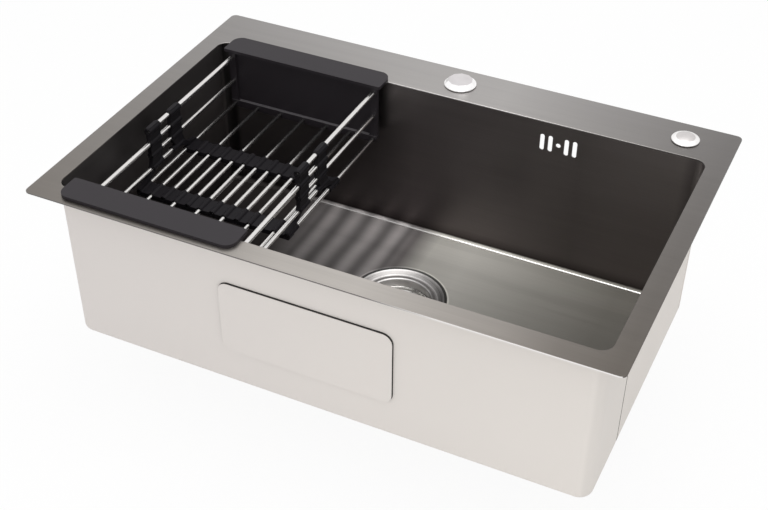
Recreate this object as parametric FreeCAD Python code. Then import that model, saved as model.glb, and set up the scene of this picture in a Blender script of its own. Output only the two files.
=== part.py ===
import FreeCAD, Part
import math
import os

from FreeCAD import Vector

# Top-mounted single-bowl kitchen sink with a telescoping draining basket.
# Millimetres, +Z up, +X to the right, +Y to the back. The origin is the centre of the worktop
# cut-out on the worktop surface, which is the underside of the deck.

# Deck panel
deck_w = 680.0
deck_d = 450.0
deck_t = 1.5
deck_corner_r = 7.0
rim_side = 24.0
rim_front = 27.0
rim_rear = 68.0

# Sealing strip glued under the deck's edge, which lies on the worktop
rim_seal_set_back = 2.0
rim_seal_w = 8.0
rim_seal_t = 1.0

# Bowl, measured on its inner faces
sheet_t = 1.2
bowl_depth = 208.0
bowl_corner_r = 14.0
bowl_floor_r = 6.0
seam_past_corner = 4.0

# Sprayed outer coat and the sound pads under it
coat_t = 0.8
coat_top_gap = 3.0
seam_groove_w = 1.2
pad_t = 3.0
pad_corner_r = 12.0
pad_gap = 0.5
pad_paint_t = 0.4
front_pad_w = 208.0
front_pad_h = 96.0
front_pad_x = -11.0
front_pad_below_deck = 63.0
floor_pad_w = 170.0
floor_pad_d = 220.0
floor_pad_from_drain = 190.0

# Overflow: a round hole between two pairs of upright slots in the back wall
overflow_from_right = 175.2
overflow_below_deck = 29.0
slot_w = 5.6
slot_h = 22.0
slot_inner_offset = 10.1
slot_outer_offset = 20.3
overflow_dot_r = 3.0

# Drain hole and its pressed recess in the bowl floor
drain_y = 15.0
drain_hole_r = 45.0
recess_r = 61.0
recess_depth = 5.0
recess_slope_w = 11.0

# Drain cup
flange_r = 57.5
flange_t = 0.8
cup_thread_r = 43.8
cup_mouth_r = 42.0
cup_bevel_w = 2.0
cup_wall_t = 1.6
cup_ledge_below_flange = 13.0
cup_lower_r = 37.5
cup_thread_h = 30.0
cup_depth = 52.0
cup_base_bevel = 13.0
outlet_r = 20.5
outlet_thread_r = 23.9
outlet_h = 24.0
outlet_collar_r = 27.0
outlet_collar_t = 2.0

# Seals and lock nut of the drain
top_seal_t = 0.8
top_seal_r = 55.0
under_washer_t = 4.0
under_washer_w = 8.0
friction_ring_t = 1.0
lock_nut_h = 11.0
lock_nut_wall = 6.0
lock_nut_lug_r = 4.0
lock_nut_lugs = 8
seat_gap = 0.05

# Strainer basket
strainer_rim_w = 2.6
strainer_t = 0.9
strainer_h = 23.0
strainer_wall_gap = 1.4
strainer_base_r = 27.0
strainer_knee_share = 0.25
strainer_hole_r = 1.7
strainer_ring_shares = (0.72, 0.88)
strainer_ring_holes = (12, 16)
strainer_rim_lift = 0.1
knob_r = 9.0
knob_h = 5.0
knob_neck_r = 3.5
knob_above_rim = 8.0
knob_shoulder_share = 0.6
knob_bevel_share = 0.2
knob_top_share = 0.8
stopper_r = 17.0
stopper_t = 3.5
stopper_top_share = 0.8

# Covers of the two holes in the back rim, each held by a stud and a wing nut
tap_hole_r = 17.5
tap_cover_r = 19.7
tap_cover_h = 6.5
tap_cover_flat_r = 15.0
tap_cover_facets = 10
tap_cover_turn = 16.0
soap_hole_r = 14.0
soap_cover_r = 16.3
soap_cover_h = 6.0
soap_cover_from_right = 59.0
covers_from_back = 35.0
cover_edge_h = 1.6
cover_wall_t = 1.0
cover_gasket_t = 0.6
stud_r = 3.0
stud_l = 34.0
clamp_washer_t = 2.0
clamp_washer_w = 3.5
wing_nut_r = 6.0
wing_nut_h = 7.0
wing_span = 34.0
wing_h = 15.0
wing_t = 2.4

# Draining basket: two equal halves, each a moulded end with rods that run to a guide frame
basket_w = 218.0
basket_left_gap = 15.0
tray_depth = 35.0
tray_t = 4.0
tray_corner_r = 13.0
tray_inner_corner_r = 2.0
tray_edge_r = 1.2
tray_seat_gap = 0.1
tray_rear_overlap = 12.2
tray_front_overlap = 20.0
end_wall_t = 2.5
end_wall_w = 208.0
end_wall_set_back = 7.0
end_rail_w = 9.0
end_rail_proud = 4.0
end_corner_r = 7.0
rod_span = 198.0
rear_floor_rods = 7
top_rod_below_deck = 7.8
level_pitch = 16.6
top_rod_r = 3.0
side_rod_r = 2.5
floor_rod_r = 2.5
rod_socket = 4.8
rod_fit_gap = 0.03
guide_gap = 0.10
frames_apart = 44.1
arm_w = 22.0
arm_t = 5.0
arm_above_ring = 0.4
ring_wall_t = 1.5
foot_offset = 29.5
foot_w = 23.0
foot_below_rod = 4.5
guide_bar_above_rod = 1.5
arm_knee_below_level = 4.0
arm_heel_above_level = 5.0
arm_toe = 2.0
arm_corner_r = 3.0

# One overrun serves every cut
over = 2.0

opening_w = deck_w - 2 * rim_side
opening_d = deck_d - rim_front - rim_rear
opening_front = rim_front - deck_d / 2
opening_back = deck_d / 2 - rim_rear
opening_y = (opening_front + opening_back) / 2
deck_top = deck_t
floor_z = deck_top - bowl_depth
recess_z = floor_z - recess_depth
bowl_base_z = floor_z - sheet_t
cover_y = deck_d / 2 - covers_from_back
soap_cover_x = deck_w / 2 - soap_cover_from_right
overflow_x = opening_w / 2 - overflow_from_right
recess_flat_r = recess_r - recess_slope_w
recess_rise = recess_depth / recess_slope_w
flange_z = recess_z + top_seal_t + 2 * seat_gap
ledge_z = flange_z - cup_ledge_below_flange
cup_bottom_z = flange_z - cup_depth
basket_x = basket_left_gap + (basket_w - opening_w) / 2
tray_z = deck_top + tray_seat_gap
rear_tray_inner = opening_back + tray_rear_overlap - tray_depth
front_tray_inner = opening_front - tray_front_overlap + tray_depth
rear_wall_y = rear_tray_inner + end_wall_set_back
front_wall_y = front_tray_inner - end_wall_set_back
half_reach = (rear_wall_y - front_wall_y + frames_apart) / 2
rod_pitch = rod_span / (rear_floor_rods - 1)
rod_half_span = rod_span / 2
rod_level = [deck_top - top_rod_below_deck - level_pitch * step for step in range(5)]
basket_base_z = rod_level[4] - foot_below_rod


def box(x0, x1, y0, y1, z0, z1):
    return Part.makeBox(x1 - x0, y1 - y0, z1 - z0, Vector(x0, y0, z0))


def disc(radius, height, x, y, z):
    return Part.makeCylinder(radius, height, Vector(x, y, z))


def rod(radius, x, y0, y1, z):
    low = min(y0, y1)
    return Part.makeCylinder(radius, abs(y1 - y0), Vector(x, low, z), Vector(0, 1, 0))


def rounded_wire(points, radii):
    """Closed wire through flat points, with an arc of the given radius at each of them."""
    edges = []
    starts = []
    ends = []
    count = len(points)
    for i in range(count):
        here = Vector(*points[i])
        back = (Vector(*points[i - 1]) - here).normalize()
        ahead = (Vector(*points[(i + 1) % count]) - here).normalize()
        if radii[i] == 0:
            starts.append(here)
            ends.append(here)
            edges.append(None)
            continue
        half = back.getAngle(ahead) / 2
        reach = radii[i] / math.tan(half)
        start = here + back * reach
        end = here + ahead * reach
        bisector = (back + ahead).normalize()
        centre = here + bisector * (radii[i] / math.sin(half))
        starts.append(start)
        ends.append(end)
        edges.append(Part.Arc(start, centre - bisector * radii[i], end).toShape())
    chain = []
    for i in range(count):
        if edges[i] is not None:
            chain.append(edges[i])
        nxt = starts[(i + 1) % count]
        if (nxt - ends[i]).Length > seat_gap / 10:
            chain.append(Part.LineSegment(ends[i], nxt).toShape())
    return Part.Wire(Part.__sortEdges__(chain))


def prism(points, radii, direction):
    return Part.Face(rounded_wire(points, radii)).extrude(direction)


def rounded_plate(x, y, w, d, radius, z, t):
    """Flat plate with rounded corners, centred on x and y, from z upwards."""
    corners = [(x - w / 2, y - d / 2, z), (x + w / 2, y - d / 2, z),
               (x + w / 2, y + d / 2, z), (x - w / 2, y + d / 2, z)]
    return prism(corners, [radius] * 4, Vector(0, 0, t))


def revolved(profile, x, y):
    """Solid of revolution about the upright axis at x, y, from (radius, height) points."""
    points = [Vector(x + r, y, z) for r, z in profile]
    face = Part.Face(Part.makePolygon(points + [points[0]]))
    return face.revolve(Vector(x, y, 0), Vector(0, 0, 1), 360)


def fuse_all(shapes):
    body = shapes[0]
    if len(shapes) > 1:
        body = body.multiFuse(shapes[1:])
    return body.removeSplitter()


def save(name, shape):
    shape.exportStep(os.path.join("parts", name + ".step"))


# The bowl


def overflow_cutters(grow):
    """Upright slots and the round hole between them, grown all round by grow."""
    z = deck_top - overflow_below_deck
    y0 = opening_back - over
    y1 = opening_back + sheet_t + coat_t + over
    tools = [rod(overflow_dot_r + grow, overflow_x, y0, y1, z)]
    for offset in (-slot_outer_offset, -slot_inner_offset, slot_inner_offset, slot_outer_offset):
        x = overflow_x + offset
        half_w = slot_w / 2 + grow
        half_h = slot_h / 2 + grow
        corners = [(x - half_w, y0, z - half_h), (x + half_w, y0, z - half_h),
                   (x + half_w, y0, z + half_h), (x - half_w, y0, z + half_h)]
        round_r = half_w - seat_gap
        tools.append(prism(corners, [round_r] * 4, Vector(0, y1 - y0, 0)))
    return tools


def bowl_form(offset):
    """Closed body of the bowl's inner form, grown outwards by offset, up to the deck."""
    w = opening_w + 2 * offset
    d = opening_d + 2 * offset
    z0 = floor_z - offset
    plate = rounded_plate(0, opening_y, w, d, bowl_corner_r + offset, z0, -z0)
    bottom = [e for e in plate.Edges if abs(e.BoundBox.ZMax - z0) < seat_gap]
    return plate.makeFillet(bowl_floor_r + offset, bottom)


def recess_form(offset):
    """Pressed recess for the drain flange, as a cone frustum that hangs from the floor."""
    top_z = floor_z - offset
    return Part.makeCone(recess_flat_r + offset, recess_r + offset, recess_depth,
                         Vector(0, drain_y, top_z - recess_depth))


def side_region(side):
    """Block that takes one side wall out of the folded bowl, between its two weld seams."""
    y0 = opening_front + bowl_corner_r + seam_past_corner
    y1 = opening_back - bowl_corner_r - seam_past_corner
    x0 = opening_w / 2 - bowl_floor_r
    x1 = opening_w / 2 + sheet_t + over
    if side < 0:
        x0, x1 = -x1, -x0
    return box(x0, x1, y0, y1, bowl_base_z - over, over)


def make_bowl():
    shell = bowl_form(sheet_t).fuse(recess_form(sheet_t))
    shell = shell.cut(bowl_form(0)).cut(recess_form(0))
    shell = shell.cut(disc(drain_hole_r, recess_depth + 2 * over, 0, drain_y, recess_z - over))
    shell = shell.cut(Part.makeCompound(overflow_cutters(0)))
    save("bowl_left_side", shell.common(side_region(-1)))
    save("bowl_right_side", shell.common(side_region(1)))
    body = shell.cut(side_region(-1)).cut(side_region(1))
    save("bowl_body", body.removeSplitter())


def make_deck():
    panel = rounded_plate(0, 0, deck_w, deck_d, deck_corner_r, 0, deck_t)
    mouth = rounded_plate(0, opening_y, opening_w, opening_d, bowl_corner_r, -over, deck_t + 2 * over)
    panel = panel.cut(mouth)
    panel = panel.cut(disc(tap_hole_r, deck_t + 2 * over, 0, cover_y, -over))
    panel = panel.cut(disc(soap_hole_r, deck_t + 2 * over, soap_cover_x, cover_y, -over))
    save("deck_panel", panel)
    rings = []
    for back in (rim_seal_set_back, rim_seal_set_back + rim_seal_w):
        rings.append(rounded_plate(0, 0, deck_w - 2 * back, deck_d - 2 * back, deck_corner_r, -rim_seal_t,
                                   rim_seal_t))
    save("rim_seal", rings[0].cut(rings[1]))


def front_pad(t, grow, y):
    """Pad outline on the front wall, t thick, with its back at y."""
    z1 = deck_top - front_pad_below_deck + grow
    z0 = z1 - front_pad_h - 2 * grow
    x0 = front_pad_x - front_pad_w / 2 - grow
    x1 = front_pad_x + front_pad_w / 2 + grow
    corners = [(x0, y, z0), (x1, y, z0), (x1, y, z1), (x0, y, z1)]
    return prism(corners, [pad_corner_r + grow] * 4, Vector(0, -t, 0))


def floor_pads(t, grow, z):
    """Two pads under the floor, left and right of the drain, t thick and hanging from z."""
    return [rounded_plate(side * floor_pad_from_drain, drain_y, floor_pad_w + 2 * grow,
                          floor_pad_d + 2 * grow, pad_corner_r + grow, z - t, t)
            for side in (-1, 1)]


def make_outer_coat():
    coat = bowl_form(sheet_t + coat_t).cut(bowl_form(sheet_t))
    far = deck_w
    coat = coat.cut(box(-far, far, -far, far, -coat_top_gap, over))
    coat = coat.cut(disc(recess_r + over + sheet_t, 2 * over, 0, drain_y, bowl_base_z - over))
    tools = overflow_cutters(pad_gap)
    tools.append(front_pad(coat_t + over, pad_gap, opening_front - sheet_t + over / 2))
    tools += floor_pads(coat_t + over, pad_gap, bowl_base_z + over / 2)
    y0 = opening_front + bowl_corner_r + seam_past_corner
    y1 = opening_back - bowl_corner_r - seam_past_corner
    inner_x = opening_w / 2 + sheet_t + coat_t / 2
    for y in (y0, y1):
        for side in (-1, 1):
            x = side * inner_x
            tools.append(box(min(x, x + side * over), max(x, x + side * over), y - seam_groove_w / 2,
                             y + seam_groove_w / 2, floor_z + bowl_floor_r, over))
    for tool in tools:
        coat = coat.cut(tool)
    paint = front_pad(pad_paint_t, 0, opening_front - sheet_t - pad_t)
    save("outer_coat", Part.makeCompound([coat, paint]))
    save("front_sound_pad", front_pad(pad_t, 0, opening_front - sheet_t))
    save("floor_sound_pads", Part.makeCompound(floor_pads(pad_t, 0, bowl_base_z)))


# The drain


def make_drain_cup():
    """Dished flange and cup in one piece, with a ledge for the strainer, and the outlet under it."""
    edge_z = flange_z + (flange_r - recess_flat_r) * recess_rise
    mouth_top = flange_z + flange_t
    throat_z = cup_bottom_z + cup_wall_t
    thread_low = flange_z - cup_thread_h
    lower_out_r = cup_lower_r + cup_wall_t
    outer = [(flange_r, edge_z), (recess_flat_r, flange_z), (cup_thread_r, flange_z),
             (cup_thread_r, thread_low), (cup_mouth_r, thread_low),
             (cup_mouth_r, ledge_z - cup_wall_t), (lower_out_r, ledge_z - cup_wall_t),
             (lower_out_r, throat_z + cup_base_bevel), (outlet_collar_r, cup_bottom_z),
             (outlet_r, cup_bottom_z)]
    inner = [(outlet_r, throat_z), (outlet_collar_r - cup_wall_t / 2, throat_z),
             (cup_lower_r, throat_z + cup_base_bevel), (cup_lower_r, ledge_z),
             (cup_mouth_r, ledge_z), (cup_mouth_r, flange_z - flange_t),
             (cup_mouth_r + cup_bevel_w, mouth_top), (recess_flat_r, mouth_top),
             (flange_r, edge_z + flange_t)]
    save("drain_cup", revolved(outer + inner, 0, drain_y))
    outlet_z = cup_bottom_z - outlet_h
    collar_z = cup_bottom_z - outlet_collar_t
    outlet = [(outlet_r, outlet_z), (outlet_thread_r, outlet_z), (outlet_thread_r, collar_z),
              (outlet_collar_r, collar_z), (outlet_collar_r, cup_bottom_z), (outlet_r, cup_bottom_z)]
    save("drain_outlet", revolved(outlet, 0, drain_y))


def ring(r_out, r_in, z, t, x, y):
    return disc(r_out, t, x, y, z).cut(disc(r_in, t + 2 * over, x, y, z - over))


def make_drain_fixings():
    under = recess_z - sheet_t
    seal_z = recess_z + seat_gap
    seal_edge_z = seal_z + (top_seal_r - recess_flat_r) * recess_rise
    seal = [(drain_hole_r, seal_z), (recess_flat_r, seal_z), (top_seal_r, seal_edge_z),
            (top_seal_r, seal_edge_z + top_seal_t), (recess_flat_r, seal_z + top_seal_t),
            (drain_hole_r, seal_z + top_seal_t)]
    save("drain_top_seal", revolved(seal, 0, drain_y))
    bore = cup_thread_r + seat_gap
    washer_z = under - seat_gap - under_washer_t
    save("drain_under_washer", ring(drain_hole_r + under_washer_w, bore, washer_z, under_washer_t,
                                    0, drain_y))
    slip_z = washer_z - seat_gap - friction_ring_t
    save("drain_friction_ring", ring(drain_hole_r + under_washer_w, bore, slip_z, friction_ring_t,
                                     0, drain_y))
    nut_z = slip_z - seat_gap - lock_nut_h
    nut_r = cup_thread_r + lock_nut_wall
    solids = [disc(nut_r, lock_nut_h, 0, drain_y, nut_z)]
    for i in range(lock_nut_lugs):
        turn = 2 * math.pi * i / lock_nut_lugs
        solids.append(disc(lock_nut_lug_r, lock_nut_h, nut_r * math.cos(turn),
                           drain_y + nut_r * math.sin(turn), nut_z))
    nut = fuse_all(solids).cut(disc(bore, lock_nut_h + 2 * over, 0, drain_y, nut_z - over))
    save("drain_lock_nut", nut)


def strainer_holes(base_z):
    """Rings of drain holes in the sieve's floor, outside the stopper seal."""
    holes = []
    for share, count in zip(strainer_ring_shares, strainer_ring_holes):
        for i in range(count):
            turn = 2 * math.pi * i / count
            holes.append(disc(strainer_hole_r, 2 * over, strainer_base_r * share * math.cos(turn),
                              drain_y + strainer_base_r * share * math.sin(turn), base_z - over / 2))
    return holes


def make_strainer():
    rim_r = cup_mouth_r - strainer_wall_gap / 2
    wall_r = cup_lower_r - strainer_wall_gap
    in_r = wall_r - strainer_t
    z0 = ledge_z + strainer_rim_lift
    base_z = z0 - strainer_h
    knee_z = base_z + strainer_h * strainer_knee_share
    wall = [(in_r, knee_z), (wall_r, knee_z), (wall_r, z0), (rim_r, z0), (rim_r, z0 + strainer_rim_w),
            (rim_r - strainer_t, z0 + strainer_rim_w), (rim_r - strainer_t, z0 + strainer_t),
            (in_r, z0 + strainer_t)]
    save("strainer_cup", revolved(wall, 0, drain_y))
    sieve = [(stud_r, base_z), (strainer_base_r, base_z), (wall_r, knee_z), (in_r, knee_z),
             (strainer_base_r - strainer_t / 2, base_z + strainer_t), (stud_r, base_z + strainer_t)]
    holes = Part.makeCompound(strainer_holes(base_z))
    save("strainer_sieve", revolved(sieve, 0, drain_y).cut(holes))
    knob_top = z0 + knob_above_rim
    neck_low = base_z - stopper_t - strainer_t
    head_r = knob_neck_r + strainer_t
    post = [(0, neck_low), (head_r, neck_low), (head_r, neck_low + strainer_t - seat_gap),
            (stud_r - seat_gap, neck_low + strainer_t - seat_gap),
            (stud_r - seat_gap, base_z + strainer_t + seat_gap),
            (knob_neck_r, base_z + strainer_t + seat_gap), (knob_neck_r, knob_top - knob_h),
            (knob_r, knob_top - knob_h * knob_shoulder_share),
            (knob_r, knob_top - knob_h * knob_bevel_share),
            (knob_r * knob_top_share, knob_top), (0, knob_top)]
    save("strainer_knob", revolved(post, 0, drain_y))
    seal = [(stud_r, base_z - stopper_t), (stopper_r * stopper_top_share, base_z - stopper_t),
            (stopper_r, base_z - stopper_t / 2), (stopper_r, base_z - seat_gap),
            (stud_r, base_z - seat_gap)]
    save("strainer_stopper_seal", revolved(seal, 0, drain_y))


# Covers of the holes in the back rim


def faceted_cap(x):
    """Cap of the tap hole: a round edge under a frustum with flat facets."""
    y = cover_y
    base = deck_top + cover_gasket_t
    edge = base + cover_edge_h
    top = base + tap_cover_h
    wires = []
    for radius, z in ((tap_cover_r, edge), (tap_cover_flat_r, top)):
        corners = []
        for i in range(tap_cover_facets):
            turn = math.radians(tap_cover_turn) + 2 * math.pi * i / tap_cover_facets
            corners.append(Vector(x + radius * math.cos(turn), y + radius * math.sin(turn), z))
        wires.append(Part.makePolygon(corners + [corners[0]]))
    cap = disc(tap_cover_r, cover_edge_h, x, y, base).fuse(Part.makeLoft(wires, True, True))
    flat = math.cos(math.pi / tap_cover_facets)
    hollow = [(0, base), (tap_cover_r * flat - cover_wall_t, base),
              (tap_cover_r * flat - cover_wall_t, edge - cover_wall_t / 2),
              (tap_cover_flat_r * flat - cover_wall_t, top - cover_wall_t), (0, top - cover_wall_t)]
    return cap.cut(revolved(hollow, x, y))


def domed_cap(x):
    """Cap of the soap hole: a smooth low dome over a round edge."""
    y = cover_y
    base = deck_top + cover_gasket_t
    edge = base + cover_edge_h
    rise = soap_cover_h - cover_edge_h
    ball_r = (soap_cover_r ** 2 + rise ** 2) / (2 * rise)
    centre_z = edge + rise - ball_r
    dome = disc(soap_cover_r, soap_cover_h, x, y, base)
    dome = dome.common(Part.makeSphere(ball_r, Vector(x, y, centre_z)))
    hollow = disc(soap_cover_r - cover_wall_t, soap_cover_h, x, y, base)
    hollow = hollow.common(Part.makeSphere(ball_r - cover_wall_t, Vector(x, y, centre_z)))
    return dome.cut(hollow)


def make_cover(prefix, x, cap, cap_r, cap_h, hole_r):
    y = cover_y
    top = deck_top + cover_gasket_t + cap_h
    stud = disc(stud_r, stud_l, x, y, top - cover_wall_t / 2 - stud_l)
    save(prefix + "_cover", cap.fuse(stud).removeSplitter())
    save(prefix + "_cover_gasket", ring(cap_r - cover_wall_t / 2, hole_r - cover_wall_t,
                                        deck_top + seat_gap, cover_gasket_t - 2 * seat_gap, x, y))
    washer_z = -seat_gap - clamp_washer_t
    bore = stud_r + seat_gap
    save(prefix + "_clamp_washer", ring(hole_r + clamp_washer_w, bore, washer_z, clamp_washer_t, x, y))
    nut_top = washer_z - seat_gap
    nut = [disc(wing_nut_r, wing_nut_h, x, y, nut_top - wing_nut_h)]
    wing_x = x - wing_t / 2
    for side in (-1, 1):
        inner = y + side * (wing_nut_r - wing_t / 2)
        outer = y + side * wing_span / 2
        corners = [(wing_x, inner, nut_top - clamp_washer_t),
                   (wing_x, inner, nut_top - wing_nut_h + wing_t / 2),
                   (wing_x, outer - side * wing_nut_r, nut_top - wing_h),
                   (wing_x, outer, nut_top - wing_h),
                   (wing_x, outer, nut_top - wing_nut_h)]
        nut.append(prism(corners, [0, 0, wing_t, wing_t, wing_t], Vector(wing_t, 0, 0)))
    wing = fuse_all(nut).cut(disc(bore, wing_h + 2 * over, x, y, nut_top - wing_h - over))
    save(prefix + "_wing_nut", wing)


# The draining basket. Each half is built from its end wall inwards: "way" is +1 towards the back.


def floor_rod_places(shifted):
    count = rear_floor_rods - (1 if shifted else 0)
    first = basket_x - rod_half_span + (rod_pitch / 2 if shifted else 0)
    return [first + rod_pitch * i for i in range(count)]


def half_rods(wall_y, way, first_level, shifted):
    """Rod places of one half: lists of (radius, x, y0, y1, z) for top, side and floor rods."""
    socket_y = wall_y + way * (rod_socket - end_rail_proud)
    arm_y = wall_y - way * (half_reach + arm_w / 2 - end_wall_t)
    foot_y = wall_y - way * (half_reach + foot_offset + foot_w / 2 - end_wall_t)
    sides = (basket_x - rod_half_span, basket_x + rod_half_span)
    top = [(top_rod_r, x, socket_y, arm_y, rod_level[first_level]) for x in sides]
    side = [(side_rod_r, x, socket_y, arm_y, rod_level[first_level + 2]) for x in sides]
    floor = [(floor_rod_r, x, socket_y, foot_y, rod_level[4]) for x in floor_rod_places(shifted)]
    return top, side, floor


def rod_solids(places, grow):
    return [rod(radius + grow, x, y0, y1, z) for radius, x, y0, y1, z in places]


def long_holes(places, grow):
    """Through holes for the rods of the other half, past both faces of whatever they cross."""
    far = deck_d / 2
    return [rod(radius + grow, x, -far, far, z) for radius, x, y0, y1, z in places]


def make_end(name, inner_y, wall_y, way, own):
    """Moulded end: a flat hook plate on the rim, an end wall and a rail that holds the rods."""
    x0 = basket_x - basket_w / 2
    x1 = basket_x + basket_w / 2
    outer_y = inner_y + way * tray_depth
    corners = [(x0, inner_y, tray_z), (x1, inner_y, tray_z), (x1, outer_y, tray_z), (x0, outer_y, tray_z)]
    radii = [tray_inner_corner_r, tray_inner_corner_r, tray_corner_r, tray_corner_r]
    plate = prism(corners, radii, Vector(0, 0, tray_t))
    top_edges = [e for e in plate.Edges if e.BoundBox.ZMin > tray_z + tray_t - seat_gap]
    plate = plate.makeFillet(tray_edge_r, top_edges)
    half = end_wall_w / 2
    z0 = basket_base_z
    z1 = tray_z + tray_t / 2
    rail_y = wall_y - way * end_rail_proud
    deep = end_wall_t + end_rail_proud
    corners = [(basket_x - half, rail_y, z0), (basket_x + half, rail_y, z0),
               (basket_x + half, rail_y, z1), (basket_x - half, rail_y, z1)]
    wall = prism(corners, [end_corner_r, end_corner_r, 0, 0], Vector(0, way * deep, 0))
    pocket_half = half - end_rail_w
    pocket_z = z0 + end_rail_w
    corners = [(basket_x - pocket_half, rail_y - way * over, pocket_z),
               (basket_x + pocket_half, rail_y - way * over, pocket_z),
               (basket_x + pocket_half, rail_y - way * over, tray_z),
               (basket_x - pocket_half, rail_y - way * over, tray_z)]
    pocket = prism(corners, [end_corner_r / 2, end_corner_r / 2, 0, 0],
                   Vector(0, way * (end_rail_proud + over), 0))
    end = fuse_all([wall.cut(pocket), plate])
    end = end.cut(Part.makeCompound(rod_solids(own, rod_fit_gap)))
    save(name, end)


def make_frame(name, wall_y, way, own, other):
    """Moulded guide frame: two bent side webs and a floor bar with a ring round every rod."""
    mid = wall_y - way * half_reach
    foot = mid - way * foot_offset
    half_arm = arm_w / 2
    half_foot = foot_w / 2
    toe_y = foot + way * arm_toe
    top_z = rod_level[0] + top_rod_r + ring_wall_t + arm_above_ring
    knee_z = rod_level[3] - arm_knee_below_level
    heel_z = rod_level[3] + arm_heel_above_level
    bar_top = rod_level[4] + guide_bar_above_rod
    floor_ring_r = floor_rod_r + ring_wall_t
    solids = []
    for side in (-1, 1):
        x = basket_x + side * rod_half_span - arm_t / 2
        outline = [(x, mid + way * half_arm, top_z), (x, mid - way * half_arm, top_z),
                   (x, mid - way * half_arm, knee_z), (x, foot - way * half_foot, bar_top + arm_corner_r),
                   (x, foot - way * half_foot, basket_base_z), (x, toe_y, basket_base_z),
                   (x, toe_y, rod_level[4] + floor_rod_r), (x, mid + way * half_arm, heel_z)]
        radii = [arm_corner_r, arm_corner_r, arm_w, arm_corner_r, 0, 0, 0, arm_w]
        solids.append(prism(outline, radii, Vector(arm_t, 0, 0)))
        rod_x = basket_x + side * rod_half_span
        for level, radius in zip(rod_level, (top_rod_r, top_rod_r, side_rod_r, side_rod_r)):
            solids.append(rod(radius + ring_wall_t, rod_x, mid - half_arm, mid + half_arm, level))
    solids.append(box(basket_x - rod_half_span, basket_x + rod_half_span, foot - half_foot,
                      foot + half_foot, basket_base_z, bar_top))
    for x in floor_rod_places(False) + floor_rod_places(True):
        solids.append(rod(floor_ring_r, x, foot - half_foot, foot + half_foot, rod_level[4]))
    frame = fuse_all(solids)
    frame = frame.cut(Part.makeCompound(rod_solids(own, rod_fit_gap)))
    frame = frame.cut(Part.makeCompound(long_holes(other, guide_gap)))
    save(name, frame)


def make_basket():
    rear = half_rods(rear_wall_y, 1, 0, False)
    front = half_rods(front_wall_y, -1, 1, True)
    halves = (("rear", rear, front, rear_tray_inner, rear_wall_y, 1),
              ("front", front, rear, front_tray_inner, front_wall_y, -1))
    for word, own, other, inner_y, wall_y, way in halves:
        own_all = own[0] + own[1] + own[2]
        other_all = other[0] + other[1] + other[2]
        for kind, places in zip(("top", "side", "floor"), own):
            save("basket_%s_%s_rods" % (word, kind), Part.makeCompound(rod_solids(places, 0)))
        make_end("basket_%s_end" % word, inner_y, wall_y, way, own_all)
        make_frame("basket_%s_guide_frame" % word, wall_y, way, own_all, other_all)


os.makedirs("parts", exist_ok=True)
make_deck()
make_bowl()
make_outer_coat()
make_drain_cup()
make_drain_fixings()
make_strainer()
make_cover("tap_hole", 0, faceted_cap(0), tap_cover_r, tap_cover_h, tap_hole_r)
make_cover("soap_hole", soap_cover_x, domed_cap(soap_cover_x), soap_cover_r, soap_cover_h, soap_hole_r)
make_basket()
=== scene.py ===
# %% [markdown]
# # A drop-in kitchen sink with a draining basket
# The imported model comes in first. It is the fixed frame that every piece of this lesson is built
# around: its nodes say where things are, and nothing here moves them. Each visible piece is then
# modelled with Blender's own tools, gets a finish made of nodes, and takes the place of its node.

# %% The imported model
import math

import bmesh
import bpy
from mathutils import Matrix, Vector


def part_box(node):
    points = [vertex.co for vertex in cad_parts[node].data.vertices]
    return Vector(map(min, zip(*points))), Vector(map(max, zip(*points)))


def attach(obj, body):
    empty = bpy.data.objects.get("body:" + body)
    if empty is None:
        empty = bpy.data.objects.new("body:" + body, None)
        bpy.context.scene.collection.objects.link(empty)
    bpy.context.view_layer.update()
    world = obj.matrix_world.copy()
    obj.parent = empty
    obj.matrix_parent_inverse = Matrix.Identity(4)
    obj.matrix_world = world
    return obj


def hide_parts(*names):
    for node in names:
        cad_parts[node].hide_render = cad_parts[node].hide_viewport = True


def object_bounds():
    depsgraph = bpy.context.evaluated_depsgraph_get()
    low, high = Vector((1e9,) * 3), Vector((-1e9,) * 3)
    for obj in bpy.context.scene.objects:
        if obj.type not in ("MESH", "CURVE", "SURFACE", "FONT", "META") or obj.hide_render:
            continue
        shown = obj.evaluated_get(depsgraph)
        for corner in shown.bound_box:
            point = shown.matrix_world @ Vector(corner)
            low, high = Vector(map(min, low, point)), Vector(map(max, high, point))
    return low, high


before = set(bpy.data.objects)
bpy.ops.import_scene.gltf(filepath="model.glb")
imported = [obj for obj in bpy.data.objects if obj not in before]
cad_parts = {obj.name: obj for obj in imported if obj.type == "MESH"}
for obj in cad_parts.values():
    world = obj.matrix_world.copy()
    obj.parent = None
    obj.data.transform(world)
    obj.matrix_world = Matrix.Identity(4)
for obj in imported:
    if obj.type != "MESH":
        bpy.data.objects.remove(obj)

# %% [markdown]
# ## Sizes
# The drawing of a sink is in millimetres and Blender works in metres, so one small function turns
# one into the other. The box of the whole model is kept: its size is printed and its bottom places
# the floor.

cad_box = [list(corner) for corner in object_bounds()]


def mm(length):
    """Metres for a length in millimetres."""
    return length * 0.001


def heights(node):
    """Bottom and top of a node, in millimetres."""
    return [corner[2] * 1000 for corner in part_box(node)]


def middle_of(node):
    """The middle of a node's box seen from above, in metres."""
    low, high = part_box(node)
    return (low[0] + high[0]) / 2, (low[1] + high[1]) / 2


sheet = mm(1.2)
floor_z = mm(-206.5)
opening_x = mm(316.0)
opening_front = mm(-198.0)
opening_back = mm(157.0)
opening_corner = mm(14.0)
side_seam_y = mm(-105)
drain_at = (0.0, mm(15.0))
print("the model spans", [round(high - low, 3) for low, high in zip(*cad_box)], "m")

# %% [markdown]
# ## Working as by hand
# Blender's operators act on whatever is selected, as they do under the mouse. These helpers start
# a piece, open it in edit mode, select by place or direction, and apply a modifier. Everything is
# deselected first, because the loaded nodes are still selected.

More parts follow.
